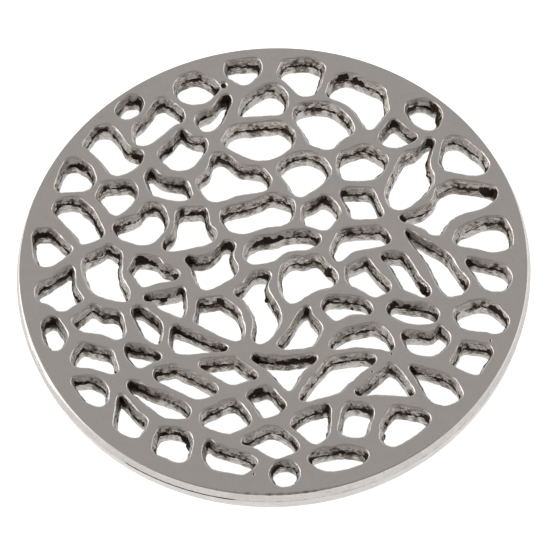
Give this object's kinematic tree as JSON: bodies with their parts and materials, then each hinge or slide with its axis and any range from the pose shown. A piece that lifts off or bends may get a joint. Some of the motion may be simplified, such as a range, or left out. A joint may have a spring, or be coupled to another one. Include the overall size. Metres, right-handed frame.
{
  "type": "openwork pendant disc",
  "caption": "Flat round cast metal disc pierced by a web of irregular cells, with a small round hanging eye beside its rim.",
  "frame": {"origin": "centre of the flat back face", "axes": "+Z out of the front face; the hanging eye is on the -Y side; +X to the right as the front face is read with the eye nearest"},
  "size_m": [0.0445, 0.0444, 0.0024],
  "materials": {
    "front_metal": "satin zinc alloy, antiqued in the cells",
    "back_metal": "satin zinc alloy, antiqued in the cells"
  },
  "bodies": {
    "root": {"front_half": "front_metal", "back_half": "back_metal"}
  },
  "joints": []
}
